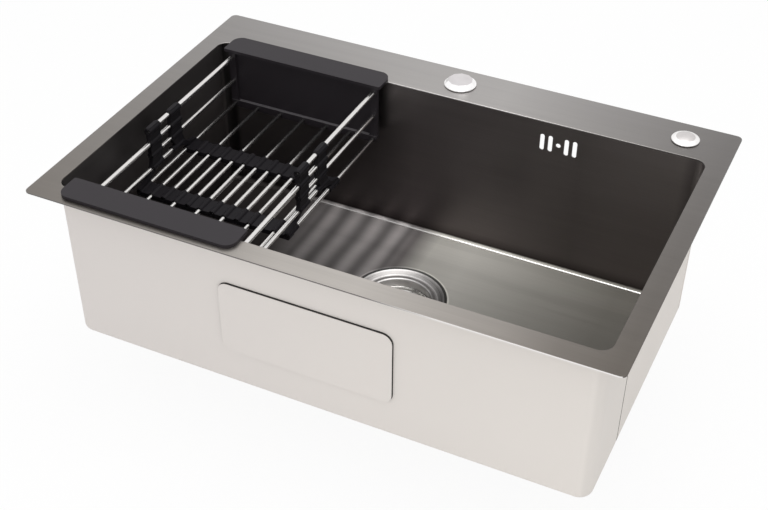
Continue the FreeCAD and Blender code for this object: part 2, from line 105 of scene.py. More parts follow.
# %% Helpers for modelling


def leave():
    """Back to object mode with nothing selected."""
    if bpy.context.object and bpy.context.object.mode != "OBJECT":
        bpy.ops.object.mode_set(mode="OBJECT")
    bpy.ops.object.select_all(action="DESELECT")


def take(*pieces):
    """Select these pieces, with the first one active."""
    leave()
    for piece in pieces:
        piece.select_set(True)
    bpy.context.view_layer.objects.active = pieces[0]


def open_up(piece):
    """Edit mode on one piece, with nothing selected."""
    take(piece)
    bpy.ops.object.mode_set(mode="EDIT")
    bpy.ops.mesh.select_mode(type="VERT")
    bpy.ops.mesh.select_all(action="DESELECT")


def everything():
    bpy.ops.mesh.select_all(action="SELECT")


def extrude(move):
    """Extrude what is selected and move it."""
    bpy.ops.mesh.extrude_region_move(TRANSFORM_OT_translate={"value": move})


def near(value, target, room=mm(0.05)):
    return abs(value - target) < room


def pick(kind, test):
    """In edit mode, select the vertices, edges or faces whose middle and direction pass a test."""
    bpy.ops.mesh.select_mode(type=kind)
    bpy.ops.mesh.select_all(action="DESELECT")
    mesh = bpy.context.object.data
    shape = bmesh.from_edit_mesh(mesh)
    if kind == "VERT":
        found = [item for item in shape.verts if test(item.co, item.normal)]
    elif kind == "EDGE":
        found = [item for item in shape.edges
                 if test((item.verts[0].co + item.verts[1].co) / 2,
                         (item.verts[1].co - item.verts[0].co).normalized())]
    else:
        found = [item for item in shape.faces if test(item.calc_center_median(), item.normal)]
    for item in found:
        item.select_set(True)
    bmesh.update_edit_mesh(mesh)


def loop_at(axis, place):
    """A test for the edges that lie in the plane at one place along an axis."""
    return lambda middle, way: near(middle[axis], place) and abs(way[axis]) < 0.1


def bevelled(piece, width, steps, test, **settings):
    """Bevel the edges that pass a test."""
    open_up(piece)
    pick("EDGE", test)
    bpy.ops.mesh.bevel(offset=width, segments=steps, **settings)
    leave()
    return piece


def face_out():
    """Turn all faces of the open piece outwards, and leave it."""
    everything()
    bpy.ops.mesh.normals_make_consistent(inside=False)
    leave()


def named(piece, name):
    piece.name = name
    piece.data.name = name
    return piece


def settled(name):
    """Put the place of the piece just added into its mesh, and name it."""
    bpy.ops.object.transform_apply(location=True, rotation=True, scale=True)
    return named(bpy.context.object, name)


def block(name, one, other):
    """A cube that fills the room between two opposite corners."""
    leave()
    one, other = Vector(one), Vector(other)
    bpy.ops.mesh.primitive_cube_add(size=1, location=(one + other) / 2)
    bpy.context.object.scale = [abs(size) for size in other - one]
    return settled(name)


def bar(name, radius, start, end, sides=32):
    """A cylinder between two points."""
    leave()
    way = Vector(end) - Vector(start)
    turn = Vector((0, 0, 1)).rotation_difference(way).to_euler()
    bpy.ops.mesh.primitive_cylinder_add(
        vertices=sides, radius=radius, depth=way.length,
        location=(Vector(start) + Vector(end)) / 2, rotation=turn)
    return settled(name)


def sheet_outline(name, one, other, corner, z, segments=10):
    """A flat face with rounded corners at height z, between two opposite corners."""
    leave()
    middle = ((one[0] + other[0]) / 2, (one[1] + other[1]) / 2, z)
    bpy.ops.mesh.primitive_plane_add(size=1, location=middle)
    bpy.context.object.scale = (abs(other[0] - one[0]), abs(other[1] - one[1]), 1)
    piece = settled(name)
    open_up(piece)
    everything()
    bpy.ops.mesh.bevel(offset=corner, segments=segments, affect="VERTICES")
    leave()
    return piece


def extruded(piece, move):
    """Give a flat face thickness by extruding it."""
    open_up(piece)
    everything()
    extrude(move)
    face_out()
    return piece


def shaped(piece, kind, **settings):
    """Add a modifier with these settings and apply it."""
    take(piece)
    modifier = piece.modifiers.new(kind.lower(), kind)
    for key, value in settings.items():
        setattr(modifier, key, value)
    bpy.ops.object.modifier_apply(modifier=modifier.name)
    return piece


def softened(piece, width, steps, degrees):
    """Bevel all edges that are sharper than an angle."""
    return shaped(piece, "BEVEL", width=width, segments=steps, limit_method="ANGLE",
                  angle_limit=math.radians(degrees))


def combined(piece, operation, tools):
    for tool in tools:
        shaped(piece, "BOOLEAN", operation=operation, solver="EXACT", object=tool)
        bpy.data.objects.remove(tool)
    return piece


def cut(piece, *tools):
    """Cut the tools out of the piece and throw them away."""
    return combined(piece, "DIFFERENCE", tools)


def grown(piece, *parts):
    """Melt the parts into the piece."""
    return combined(piece, "UNION", parts)


def joined(name, pieces):
    """Several separate shapes as one object."""
    take(*pieces)
    bpy.ops.object.join()
    return named(bpy.context.object, name)


def twin(piece, name, move):
    """A copy with its own mesh, shifted in its mesh."""
    other = piece.copy()
    other.data = piece.data.copy()
    other.name = name
    bpy.context.scene.collection.objects.link(other)
    other.data.transform(Matrix.Translation(move))
    return other


def smoothed(piece, degrees):
    """Shade the curves smooth and keep the broad faces flat."""
    take(piece)
    bpy.ops.object.shade_smooth_by_angle(angle=math.radians(degrees))
    shaped(piece, "WEIGHTED_NORMAL", keep_sharp=True, weight=80)
    return piece


def drawn(name, points):
    """A line through these points: one vertex, extruded from each point to the next."""
    leave()
    bpy.ops.mesh.primitive_plane_add(size=mm(1), location=points[0])
    piece = settled(name)
    open_up(piece)
    everything()
    bpy.ops.mesh.merge(type="CENTER")
    for here, after in zip(points, points[1:]):
        move = Vector(after) - Vector(here)
        bpy.ops.mesh.extrude_vertices_move(TRANSFORM_OT_translate={"value": move})
    return piece


def turned(name, profile, centre, steps=96):
    """Spin a profile of (radius, height) points in millimetres round an upright axis."""
    x, y = centre
    piece = drawn(name, [(x + mm(radius), y, mm(height)) for radius, height in profile])
    everything()
    bpy.ops.mesh.spin(steps=steps, angle=2 * math.pi, center=(x, y, 0), axis=(0, 0, 1))
    everything()
    bpy.ops.mesh.remove_doubles(threshold=mm(0.005))
    face_out()
    return piece


# %% [markdown]
# ## Shader maths
# A finish is a small graph of nodes. Adding and wiring them one by one hides the idea, so a socket
# is wrapped in a class that knows plus, minus, times and divided by: the sum is then written as a
# sum. Everything else comes from one method that takes a node's type, inputs and settings. The
# ranges of places are in millimetres.

# %% Helpers for finishes


class Sock:
    """A socket that takes part in ordinary sums."""

    def __init__(self, graph, socket):
        self.graph = graph
        self.socket = socket

    def maths(self, operation, first, second=0.0):
        return self.graph.add("Math", {0: first, 1: second}, operation=operation)

    def __add__(self, other):
        return self.maths("ADD", self, other)

    def __sub__(self, other):
        return self.maths("SUBTRACT", self, other)

    def __rsub__(self, other):
        return self.maths("SUBTRACT", other, self)

    def __mul__(self, other):
        return self.maths("MULTIPLY", self, other)

    def __truediv__(self, other):
        return self.maths("DIVIDE", self, other)

    def __abs__(self):
        return self.maths("ABSOLUTE", self)


class Graph:
    """The nodes of a material or a world."""

    def __init__(self, tree):
        self.nodes = tree.nodes
        self.links = tree.links

    def plug(self, socket, value):
        if isinstance(value, Sock):
            self.links.new(value.socket, socket)
        else:
            socket.default_value = value

    def add(self, kind, values, output=0, **settings):
        node = self.nodes.new("ShaderNode" + kind)
        for key, value in settings.items():
            setattr(node, key, value)
        for key, value in values.items():
            self.plug(node.inputs[key], value)
        return Sock(self, node.outputs[output])


class Finish(Graph):
    """One material under way: its nodes, its shader and the place on the piece."""

    def __init__(self, name, **constants):
        self.material = bpy.data.materials.new(name)
        self.material.use_nodes = True
        super().__init__(self.material.node_tree)
        self.shader = next(node for node in self.nodes if node.type == "BSDF_PRINCIPLED")
        self.place = self.add("TexCoord", {}, "Object")
        self.set(**constants)

    def set(self, **inputs):
        for key, value in inputs.items():
            self.plug(self.shader.inputs[key.replace("_", " ")], value)

    def mix(self, factor, first, second):
        """Colour between two colours."""
        return self.add("Mix", {0: factor, 6: first, 7: second}, 2, data_type="RGBA")

    def noise(self, scale, stretch=(1, 1, 1), detail=2.0):
        """Noise over the piece, stretched by a mapping."""
        spread = self.add("Mapping", {"Vector": self.place, "Scale": stretch})
        return self.add("TexNoise", {"Vector": spread, "Scale": scale, "Detail": detail})

    def along(self, axis):
        """The place along one axis, in metres."""
        return self.add("SeparateXYZ", {0: self.place}, axis)

    def share(self, value, start, end, **settings):
        """0 at the start and 1 at the end of a range, and even between."""
        values = {"Value": value, "From Min": mm(start), "From Max": mm(end)}
        return self.add("MapRange", values, **settings)

    def between(self, value, start, end):
        """0 before start, 1 past end, and smooth between."""
        return self.share(value, start, end, interpolation_type="SMOOTHSTEP")

    def shade_along(self, place, levels):
        """Colours at places along one direction, blended by a ramp."""
        stops = sorted(levels)
        first, last = stops[0], stops[-1]
        ramp = self.add("ValToRGB", {"Fac": self.share(place, first, last)})
        elements = ramp.socket.node.color_ramp.elements
        for _ in stops[2:]:
            elements.new(1.0)
        for element, stop in zip(elements, stops):
            element.position = (stop - first) / (last - first)
            element.color = levels[stop]
        return ramp

    def vector_maths(self, operation, first, values, output=0):
        """Sums with colours and directions."""
        return self.add("VectorMath", {0: first, **values}, output, operation=operation)

    def scaled(self, color, factor):
        """A colour made lighter or darker."""
        return self.vector_maths("SCALE", color, {"Scale": factor})

    def product(self, color, other):
        """Two colours multiplied."""
        return self.vector_maths("MULTIPLY", color, {1: other})

    def radius(self, centre):
        """The distance from an upright axis, in metres."""
        away = self.vector_maths("SUBTRACT", self.place, {1: (*centre, 0)})
        return self.vector_maths("LENGTH", self.product(away, (1, 1, 0)), {}, "Value")

    def wave(self, place, length, crest):
        """From -1 to 1 and back over each length, highest at the crest."""
        turn = (place - crest) / (length / (2 * math.pi))
        return turn.maths("COSINE", turn)

    def relief(self, height, depth, strength):
        """Fine relief of a given depth in metres."""
        return self.add("Bump", {"Height": height, "Distance": depth, "Strength": strength})


def tone(red, green, blue):
    """Linear colour for a tone as it looks on a screen, 0 to 255."""
    parts = [value / 255 for value in (red, green, blue)]
    return tuple(part / 12.92 if part < 0.04045 else ((part + 0.055) / 1.055) ** 2.4
                 for part in parts) + (1.0,)


# %% [markdown]
# ## The finishes
# Gunmetal sinks are stainless sheet with a brushed, tinted face. Brushing is a noise stretched into
# long thin streaks: it shifts the tone a little, the roughness more, and a bump gives the grain.
# Under soft light such sheet shades slowly from light to dark along its length, and this light and
# shade is painted into the tone by a short ramp along x, with its stops in millimetres. The rods'
# reflections in the bowl's floor are painted into its tone as soft streaks, a wave along x.

# %% Brushed steel
grain_in_tone = 0.22
grain_in_roughness = 0.16


def greys(levels, tint=(2.0, -1.0, -2.6)):
    """Linear colours of slightly warm greys, for a table of places and levels from 0 to 255."""
    return {place: tone(*(level + part for part in tint)) for place, level in levels.items()}


def shares(table):
    """A table of places and shares of light, as colours to multiply with."""
    return {place: (share, share, share, 1.0) for place, share in table.items()}


def brushed(name, grain, roughness, **constants):
    """Brushed sheet with its grain along x, and its streaks from about -0.4 to 0.4."""
    finish = Finish(name, **constants)
    fine = finish.noise(1.0, (grain * 0.012, grain, grain), 3.0)
    broad = finish.noise(1.0, (2.0, grain * 0.11, grain * 0.11), 2.0)
    streak = (fine - 0.5) * 0.7 + (broad - 0.5) * 0.5
    finish.set(Roughness=streak * grain_in_roughness + roughness)
    finish.set(Normal=finish.relief(fine, mm(0.02), 0.30))
    return finish, streak


def deck_finish():
    """Painted light on the sheet: lightest near the middle, painted highlights on its front and back
    edges.
    """
    finish, streak = brushed("brushed gunmetal deck", 900.0, 0.36, Metallic=1.0)
    x, y, z = (finish.along(axis) for axis in "XYZ")
    # Painted light and shade: the tone along x on the front and on the back, lightest near the
    # middle.
    front = finish.shade_along(x, greys({
        -330: 117, -160: 134, -30: 167, 60: 170, 150: 148, 210: 134, 270: 108, 330: 92},
        (4.5, -0.5, -5.5)))
    back = finish.shade_along(x, greys({-330: 142, -60: 162, 60: 164, 180: 141, 330: 113}))
    depth = finish.share(y, -215, 205)
    steel = finish.scaled(finish.mix(depth, front, back), streak * grain_in_tone + 1.04)
    # Masks for painted highlights on the back lip of the opening and on the deck's front edge.
    low = 1 - finish.between(z, 1.38, 1.47)
    back_edge_highlight_mask = low * finish.between(y - opening_back, -7, -2) * finish.between(x, -310, -290)
    front_edge_light_and_shade_mask = low * finish.between(y, -223.5, -224.2)
    # Painted highlight along the back lip; along the front edge, painted shade on the left and a
    # painted highlight on the right.
    back_edge_highlight = finish.shade_along(x, greys({60: 210, 180: 152, 310: 100}))
    front_edge_shade_and_highlight = finish.shade_along(x, greys({70: 116, 150: 236}))
    steel = finish.mix(back_edge_highlight_mask, steel, back_edge_highlight)
    finish.set(Base_Color=finish.mix(front_edge_light_and_shade_mask, steel, front_edge_shade_and_highlight))
    return finish


def bowl_floor(finish, x, y):
    """Painted light fading to both sides, with painted reflections as streaks at its left and
    painted shade at the drain gap.
    """
    sway = (finish.noise(12.0, detail=1.0) - 0.5) * mm(8)
    # Painted light and shade along x: shaded under the basket, lit in the middle, fading to the
    # right.
    shaded = greys({-310: 62, -200: 76, -155: 178, -50: 180, -30: 136}, (4.3, -1.4, -2.8))
    lit = greys({0: 234, 50: 238, 150: 188, 240: 146, 310: 140}, (3.5, 0.5, -8.0))
    across = finish.shade_along(x, {**shaded, **lit})
    # Painted light along y, lighter towards the back.
    light_along_y = finish.shade_along(y, shares({-198: 0.45, 30: 0.48, 100: 0.70, 130: 1.0}))
    # Painted reflections of the rods: soft streaks between about x = -170 and -40 mm.
    streaks = finish.wave(x + sway, mm(31), mm(-57)) * finish.between(x, -172, -160)
    streaks = streaks * finish.between(x, -34, -46) * 0.42 + 1.0
    # Painted shade in the gap round the drain flange, and a painted highlight on the recess's edge.
    gap = finish.shade_along(finish.radius(drain_at), shares({
        50: 0.04, 60.6: 0.04, 61.2: 0.6, 62.4: 0.6, 63.2: 0.4}))
    gain = 2.5
    return finish.scaled(finish.product(finish.product(across, light_along_y), gap), streaks * gain)


def bowl_wall(finish, x, y, z):
    """Dark walls with painted light, lighter upwards, and painted shade darkest at the left."""
    # Painted light along z: the walls lighter upwards.
    upright = greys({-203: 84, -188: 121, -100: 149, 0: 178}, (4.5, -3.0, -3.5))
    upright = finish.shade_along(z, upright)
    # Painted light and shade along x: darkest near the back left corner, lightest near the right
    # end.
    sides = finish.shade_along(x, shares({
        -316: 0.69, -313.6: 0.08, -304: 0.08, -298: 0.46, -100: 0.44, -45: 0.65, 100: 0.47,
        170: 0.47, 290: 0.95, 306: 0.5, 316: 0.67}))
    # On the left wall only, painted shade towards the front and towards the top.
    left = 1 - finish.between(x, -314.0, -312.5)
    light_along_y = finish.shade_along(y, shares({-198: 0.40, 30: 0.42, 143: 0.8}))
    deep = finish.shade_along(z, shares({-80: 1.0, -10: 0.45}))
    left_shade = finish.mix(left, (1, 1, 1, 1), finish.product(light_along_y, deep))
    return finish.product(finish.product(upright, sides), left_shade)


def bowl_finish():
    """The floor and the walls, and a painted highlight where the floor folds up into the walls."""
    finish, streak = brushed("brushed gunmetal bowl", 700.0, 0.36)
    x, y, z = (finish.along(axis) for axis in "XYZ")
    floor = bowl_floor(finish, x, y)
    wall = bowl_wall(finish, x, y, z)
    above = z - floor_z
    up = finish.between(above, 2.2, 4.5)
    # A painted highlight along the foot of the bend into the walls, only right of about x = -150 mm.
    fold_highlight = finish.between(above, 0.05, 0.5) * (1 - finish.between(above, 0.5, 1.1))
    fold_highlight = fold_highlight * finish.between(x, -200, -150)
    steel = finish.scaled(finish.mix(up, floor, wall), streak * grain_in_tone + 1.0)
    finish.set(Base_Color=finish.mix(fold_highlight, steel, tone(252, 251, 249)))
    wall_shine = up * (0.6 - finish.between(x, -100, -250) * 0.30)
    fold_shine = fold_highlight * (finish.between(x, -30, 30) - 0.4)
    finish.set(Metallic=wall_shine + fold_shine + 0.4)
    finish.set(Roughness=streak * grain_in_roughness + 0.44 - up * 0.08 - fold_highlight * 0.28)
    return finish


deck_steel = deck_finish()
bowl_steel = bowl_finish()

# %% [markdown]
# The outside of the bowl is sprayed with a thick beige paint that keeps water from drumming. Such
# paint dries with a fine orange peel, a bump of small soft cells, and with slightly uneven tone.
# The weld seam of each side wall shows in it as a dark line.

# %% Sprayed coat, rubber, plastic and polished steel


def sprayed():
    finish = Finish("sprayed coat", Roughness=0.62)
    x, y = finish.along("X"), finish.along("Y")
    peel = finish.noise(420.0)
    cloud = finish.noise(5.0)
    # Painted light across x: the coat lighter towards the right.
    across = finish.between(x, -340, 340)
    left = finish.mix(cloud, tone(225, 219, 215), tone(229, 223, 219))
    right = finish.mix(cloud, tone(234, 228, 222), tone(238, 232, 226))
    # Painted shade round the right corners and on the right wall, and the dark weld seams.
    corner_shade = finish.between(x - opening_x, -10, -4)
    side = finish.between(abs(x) - opening_x, 0.5, 1.0)
    seam = side * (1 - finish.between(abs(y - side_seam_y), 1.4, 1.7))
    shade = 1 - corner_shade * 0.07 - seam * 0.65
    finish.set(Base_Color=finish.scaled(finish.mix(across, left, right), shade))
    finish.set(Normal=finish.relief(peel, mm(0.10), 0.35))
    return finish


def moulded(name, deep, worn, roughness, cell=900.0, sheen=0.5, ledge_highlight_z=None):
    """Moulded plastic or rubber with a fine grain, and perhaps a painted highlight along a ledge at
    one height.
    """
    finish = Finish(name, Specular_IOR_Level=sheen)
    grain = finish.noise(cell)
    cloud = finish.noise(14.0, detail=3.0)
    color = finish.mix(cloud, tone(*deep), tone(*worn))
    if ledge_highlight_z is not None:
        # A painted highlight on the ledge at that height.
        off = abs(finish.along("Z") - ledge_highlight_z)
        color = finish.mix(1 - finish.between(off, 0.25, 0.4), color, tone(96, 93, 96))
    finish.set(Base_Color=color)
    finish.set(Roughness=cloud * 0.12 + grain * 0.08 + (roughness - 0.1))
    finish.set(Normal=finish.relief(grain, mm(0.03), 0.25))
    return finish


def polished(name, dark, light, roughness, stretch=(1, 1, 1), shade_from_y=None):
    """Polished steel with faint wiping marks, and painted shade past a place along y if one is
    given.
    """
    finish = Finish(name, Metallic=1.0)
    wipe = finish.noise(160.0, stretch, 3.0)
    cloud = finish.noise(22.0)
    steel = finish.mix(cloud, tone(*dark), tone(*light))
    if shade_from_y is not None:
        # Painted shade, up to 38 percent darker, over 50 mm past that place.
        dim = finish.between(finish.along("Y") - shade_from_y, 0, 50)
        steel = finish.scaled(steel, 1 - dim * 0.38)
    finish.set(Base_Color=steel)
    finish.set(Roughness=wipe * 0.10 + (roughness - 0.05))
    return finish


def faceted(name, face_z, face, slope_highlight, roughness):
    """Polished steel with a flat face at one height, and a painted highlight on the slopes round it.
    """
    finish = Finish(name, Metallic=1.0)
    top = finish.between(finish.along("Z") - face_z, -0.3, -0.1)
    cloud = finish.noise(90.0)
    steel = finish.mix(top, tone(*slope_highlight), tone(*face))
    finish.set(Base_Color=finish.scaled(steel, cloud * 0.16 + 0.92))
    finish.set(Roughness=cloud * 0.10 + (roughness - 0.05))
    return finish


def spun(name, centre, rings, roughness):
    """Spun steel: fine rings round an axis, painted light on one side, and painted highlights and
    shade by radius.
    """
    finish = Finish(name, Metallic=0.6)
    radius = finish.radius(centre)
    # Painted light from one side, at 130 degrees round the axis.
    lit = math.radians(130)
    side = ((finish.along("X") - centre[0]) * math.cos(lit)
            + (finish.along("Y") - centre[1]) * math.sin(lit)) / (radius + mm(0.01))
    wobble = finish.noise(60.0)
    ring = finish.add("TexNoise", {"W": radius * 900.0, "Scale": 1.0}, noise_dimensions="1D")
    steel = finish.shade_along(radius, greys(rings))
    shade = side * 0.42 + (wobble - 0.5) * 0.5 + (ring - 0.5) * 0.3 + 0.62
    finish.set(Base_Color=finish.scaled(steel, shade))
    finish.set(Roughness=(ring - 0.5) * 0.2 + roughness)
    return finish


coat_paint = sprayed()
pad_rubber = moulded("pad rubber", (38, 37, 36), (52, 50, 49), 0.75)
seal_rubber = moulded("seal rubber", (36, 36, 36), (48, 48, 48), 0.7)
foam = moulded("foam strip", (70, 70, 70), (92, 92, 92), 0.85, 500.0)
# The basket's ends get a painted highlight on the ledge at the foot of their walls.
basket_black = moulded("fine black moulding", (38, 34, 38), (43, 39, 43), 0.5, sheen=0.27,
                       ledge_highlight_z=mm(-68.2))
frame_black = moulded("guide frame moulding", (24, 22, 25), (31, 29, 32), 0.5, sheen=0.10)
nut_black = moulded("black nut moulding", (40, 40, 42), (52, 52, 54), 0.5)
ring_white = moulded("white ring moulding", (206, 206, 203), (222, 222, 219), 0.5)
drain_steel = polished("polished drain steel", (190, 188, 184), (214, 212, 208), 0.16)
# Tones by radius: painted highlights on the flange's rims and steps, painted shade between them.
flange_steel = spun("spun drain flange", drain_at, {
    0: 150, 36: 160, 39: 160, 41: 225, 42.8: 235, 44: 160, 47: 155, 48.4: 225, 50.0: 225,
    51.2: 165, 55: 160, 56: 190, 57.5: 200}, 0.30)
# The tap cover's slopes get a painted highlight, lighter than its flat face.
cover_steel = faceted("polished cover steel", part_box("tap_hole_cover")[1][2], (215, 211, 212),
                      (253, 252, 252), 0.30)
dome_top, dome_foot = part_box("soap_hole_cover")[1][2], mm(3.7)
# On the dome, the painted highlight covers the lower part of its rise as a bright ring.
dome_steel = faceted("polished dome steel", dome_top * 0.55 + dome_foot * 0.45 + mm(0.2),
                     (206, 202, 201), (243, 241, 240), 0.42)
rod_look = (216, 214, 212), (230, 228, 226), 0.24, (6, 0.1, 6)
rod_steel = polished("drawn rod steel", *rod_look)
# The floor rods get painted shade towards the back.
low_rod_steel = polished("shaded rod steel", *rod_look, shade_from_y=mm(35))
zinc = polished("zinc plate", (176, 178, 180), (204, 206, 208), 0.34)


def paint(piece, finish):
    piece.data.materials.clear()
    piece.data.materials.append(finish.material)


def dress(piece, finish, body, slot, *nodes):
    """Give a finished piece its name, material and body, and the nodes it stands for; slot is not
    used.
    """
    piece.name = nodes[0].replace("_", "-")
    paint(piece, finish)
    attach(piece, body)
    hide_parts(*nodes)
    print(piece.name, len(piece.data.polygons), "faces")


# %% [markdown]
# ## The deck
# The deck is one flat sheet with a large opening. A rounded outline is extruded to the gauge and its
# top edge bevelled. The opening is cut with a solid that flares at the top, so its edge is rounded
# too. These small round edges catch the light as a thin line, which a painted highlight strengthens.

# %% The deck
deck_low, deck_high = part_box("deck_panel")
deck_edge = mm(0.7)


def mouth_cutter():
    """The opening as a solid, flared at the top so that the cut leaves a rounded edge."""
    middle = (0, (opening_front + opening_back) / 2, 0)
    half_x, half_y = opening_x, (opening_back - opening_front) / 2
    top, start = deck_high[2], mm(-5)
    piece = sheet_outline("mouth", (-opening_x, opening_front), (opening_x, opening_back),
                          opening_corner, start)
    open_up(piece)
    everything()
    grown_by, height = 0.0, start
    for grow, z in ((0, top - deck_edge), (mm(0.09), top - mm(0.35)), (mm(0.35), top - mm(0.09)),
                    (deck_edge, top), (deck_edge, top + mm(3))):
        extrude((0, 0, z - height))
        more = grow - grown_by
        size = (1 + more / (half_x + grown_by), 1 + more / (half_y + grown_by), 1)
        bpy.ops.transform.resize(value=size, center_override=middle)
        grown_by, height = grow, z
    face_out()
    return piece


def make_deck():
    low, high = deck_low[2], deck_high[2]
    deck = extruded(sheet_outline("deck", deck_low, deck_high, mm(7), low, 8), (0, 0, high - low))
    bevelled(deck, deck_edge, 3, loop_at(2, high), profile=0.6)
    tools = [mouth_cutter()]
    for cover, radius in (("tap_hole_cover", mm(17.5)), ("soap_hole_cover", mm(14))):
        x, y = middle_of(cover)
        tools.append(bar("hole", radius, (x, y, mm(-5)), (x, y, mm(5)), 48))
    cut(deck, *tools)
    take(deck)
    bpy.ops.object.shade_smooth_by_angle(angle=math.radians(35))
    open_up(deck)
    pick("FACE", lambda middle, way: abs(way.z) > 0.999)
    bpy.ops.mesh.faces_shade_flat()
    leave()
    return deck


dress(make_deck(), deck_steel, "sink", "deck_steel", "deck_panel")

# %% [markdown]
# ## The bowl
# A bowl of folded sheet is a box without a lid. A cube loses its top face, its upright edges are
# bevelled to the corner radius and then the loop round the floor to the floor radius, which gives
# the soft corners where three sides meet. The drain's recess is drawn as a circle in the floor,
# bridged to the floor's border, and extruded down in two steps. Solidify adds the gauge outside.

# %% The bowl


def folded_bowl(name, grow, top, hole):
    """Inner face of a folded bowl, grown outwards, with a round hole in its floor."""
    floor = floor_z - grow
    piece = block(name, (-opening_x - grow, opening_front - grow, floor),
                  (opening_x + grow, opening_back + grow, top))
    open_up(piece)
    pick("FACE", lambda middle, way: way.z > 0.9)
    bpy.ops.mesh.delete(type="FACE")
    pick("EDGE", lambda middle, way: abs(way.z) > 0.9)
    bpy.ops.mesh.bevel(offset=opening_corner + grow, segments=12, affect="EDGES")
    pick("EDGE", loop_at(2, floor))
    bpy.ops.mesh.bevel(offset=mm(6) + grow, segments=10, affect="EDGES")
    pick("FACE", lambda middle, way: near(middle.z, floor) and abs(way.z) > 0.99)
    bpy.ops.mesh.delete(type="ONLY_FACE")
    bpy.ops.mesh.primitive_circle_add(vertices=72, radius=hole, location=(*drain_at, floor))
    pick("EDGE", lambda middle, way: near(middle.z, floor, mm(0.02)))
    bpy.ops.mesh.bridge_edge_loops()
    everything()
    bpy.ops.mesh.normals_make_consistent(inside=False)
    shape = bmesh.from_edit_mesh(piece.data)
    lowest = min(shape.faces, key=lambda face: face.calc_center_median().z)
    if lowest.normal.z < 0:
        bpy.ops.mesh.flip_normals()
    return piece


def ring_down(radius, new_radius, height, drop):
    """Extrude the ring of edges round the drain down and in."""
    def on_ring(middle, way):
        away = math.hypot(middle.x - drain_at[0], middle.y - drain_at[1])
        return near(middle.z, height) and near(away, radius, mm(0.15)) and abs(way.z) < 0.1
    pick("EDGE", on_ring)
    extrude((0, 0, -drop))
    bpy.ops.transform.resize(value=(new_radius / radius, new_radius / radius, 1),
                             center_override=(*drain_at, height - drop))


def upright_plate(name, low, high, corner, near_y, far_y):
    """A plate that stands on the front wall, with rounded corners."""
    piece = sheet_outline(name, low, high, corner, 0.0, 8)
    piece.data.transform(Matrix.Rotation(math.pi / 2, 4, "X"))
    piece.data.transform(Matrix.Translation((0, near_y, 0)))
    return extruded(piece, (0, far_y - near_y, 0))


def slot_tools(grow):
    """Cutters for the overflow: four upright slots and a round hole between them."""
    tools = []
    middle_x, middle_z = mm(140.8), mm(-27.5)
    wide, high = mm(2.75) + grow, mm(11) + grow
    near_y, far_y = opening_back - mm(4), opening_back + mm(6)
    for offset in (-20.3, -10.1, 10.1, 20.3):
        x = middle_x + mm(offset)
        tools.append(upright_plate("slot", (x - wide, middle_z - high), (x + wide, middle_z + high),
                                   wide - mm(0.02), near_y, far_y))
    tools.append(bar("dot", mm(3) + grow, (middle_x, near_y, middle_z), (middle_x, far_y, middle_z)))
    return tools


def make_bowl():
    recess, recess_floor, drain_hole, drop = mm(61), mm(50), mm(45), mm(5)
    bowl = folded_bowl("bowl", 0.0, 0.0, recess)
    ring_down(recess, recess_floor, floor_z, drop)
    ring_down(recess_floor, drain_hole, floor_z - drop, 0.0)
    leave()
    shaped(bowl, "SOLIDIFY", thickness=sheet, offset=-1, use_even_offset=True)
    cut(bowl, *slot_tools(0.0))
    return smoothed(bowl, 20)


dress(make_bowl(), bowl_steel, "sink", "bowl_steel",
      "bowl_body", "bowl_left_side", "bowl_right_side")

# %% [markdown]
# ## The coat and its pads
# The coat is the same folded form, grown by the gauge, with its own thickness. It stops short of
# the deck, leaves the weld seams and the overflow open, and stops round each sound pad. The pad on
# the front wall is black rubber with sprayed paint on its face, so its edge shows as a dark line.

# %% The coat and its pads
coat = mm(0.8)
coat_below_deck = mm(3)
pad_gap = mm(0.5)
pad_corner = mm(12)
pad_paint = mm(0.4)
floor_pad_t = mm(3)
pad_low, pad_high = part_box("front_sound_pad")


def pad_outline(name, grow, near_y, far_y):
    return upright_plate(name, (pad_low[0] - grow, pad_low[2] - grow),
                         (pad_high[0] + grow, pad_high[2] + grow), pad_corner + grow, near_y, far_y)


def floor_plate(name, side, grow, low_z, high_z):
    half = Vector((mm(85) + grow, mm(110) + grow))
    middle = Vector((side * mm(190), drain_at[1]))
    piece = sheet_outline(name, middle - half, middle + half, pad_corner + grow, low_z, 8)
    return extruded(piece, (0, 0, high_z - low_z))


def make_coat():
    shell = folded_bowl("outer_coat", sheet, -coat_below_deck, mm(64.2))
    leave()
    shaped(shell, "SOLIDIFY", thickness=coat, offset=-1, use_even_offset=True)
    tools = slot_tools(mm(0.5))
    out, under = opening_front - sheet, floor_z - sheet
    tools.append(pad_outline("gap", pad_gap, out + mm(1), out - mm(3)))
    for side in (-1, 1):
        tools.append(floor_plate("gap", side, pad_gap, under + mm(1), under - mm(3)))
        for y in (side_seam_y, opening_back - mm(18)):
            x = side * (opening_x + sheet + coat / 2)
            tools.append(block("seam", (x, y - mm(1.5), floor_z + mm(6)),
                               (x + side * mm(2), y + mm(1.5), mm(2))))
    cut(shell, *tools)
    face_y = pad_low[1] - pad_paint
    face = bevelled(pad_outline("face", 0.0, pad_low[1], face_y), mm(0.3), 3, loop_at(1, face_y))
    return smoothed(joined("outer_coat", [shell, face]), 20)


def make_front_pad():
    pad = pad_outline("front_sound_pad", 0.0, pad_high[1], pad_low[1])
    return smoothed(bevelled(pad, mm(0.5), 2, loop_at(1, pad_low[1])), 25)


def make_floor_pads():
    top = floor_z - sheet
    pads = []
    for side in (-1, 1):
        pad = floor_plate("floor_pad", side, 0.0, top, top - floor_pad_t)
        pads.append(bevelled(pad, mm(0.6), 2, loop_at(2, top - floor_pad_t)))
    return smoothed(joined("floor_sound_pads", pads), 25)


dress(make_coat(), coat_paint, "sink", "outer_coat", "outer_coat")
dress(make_front_pad(), pad_rubber, "sink", "pad_rubber", "front_sound_pad")
dress(make_floor_pads(), pad_rubber, "sink", "pad_rubber", "floor_sound_pads")

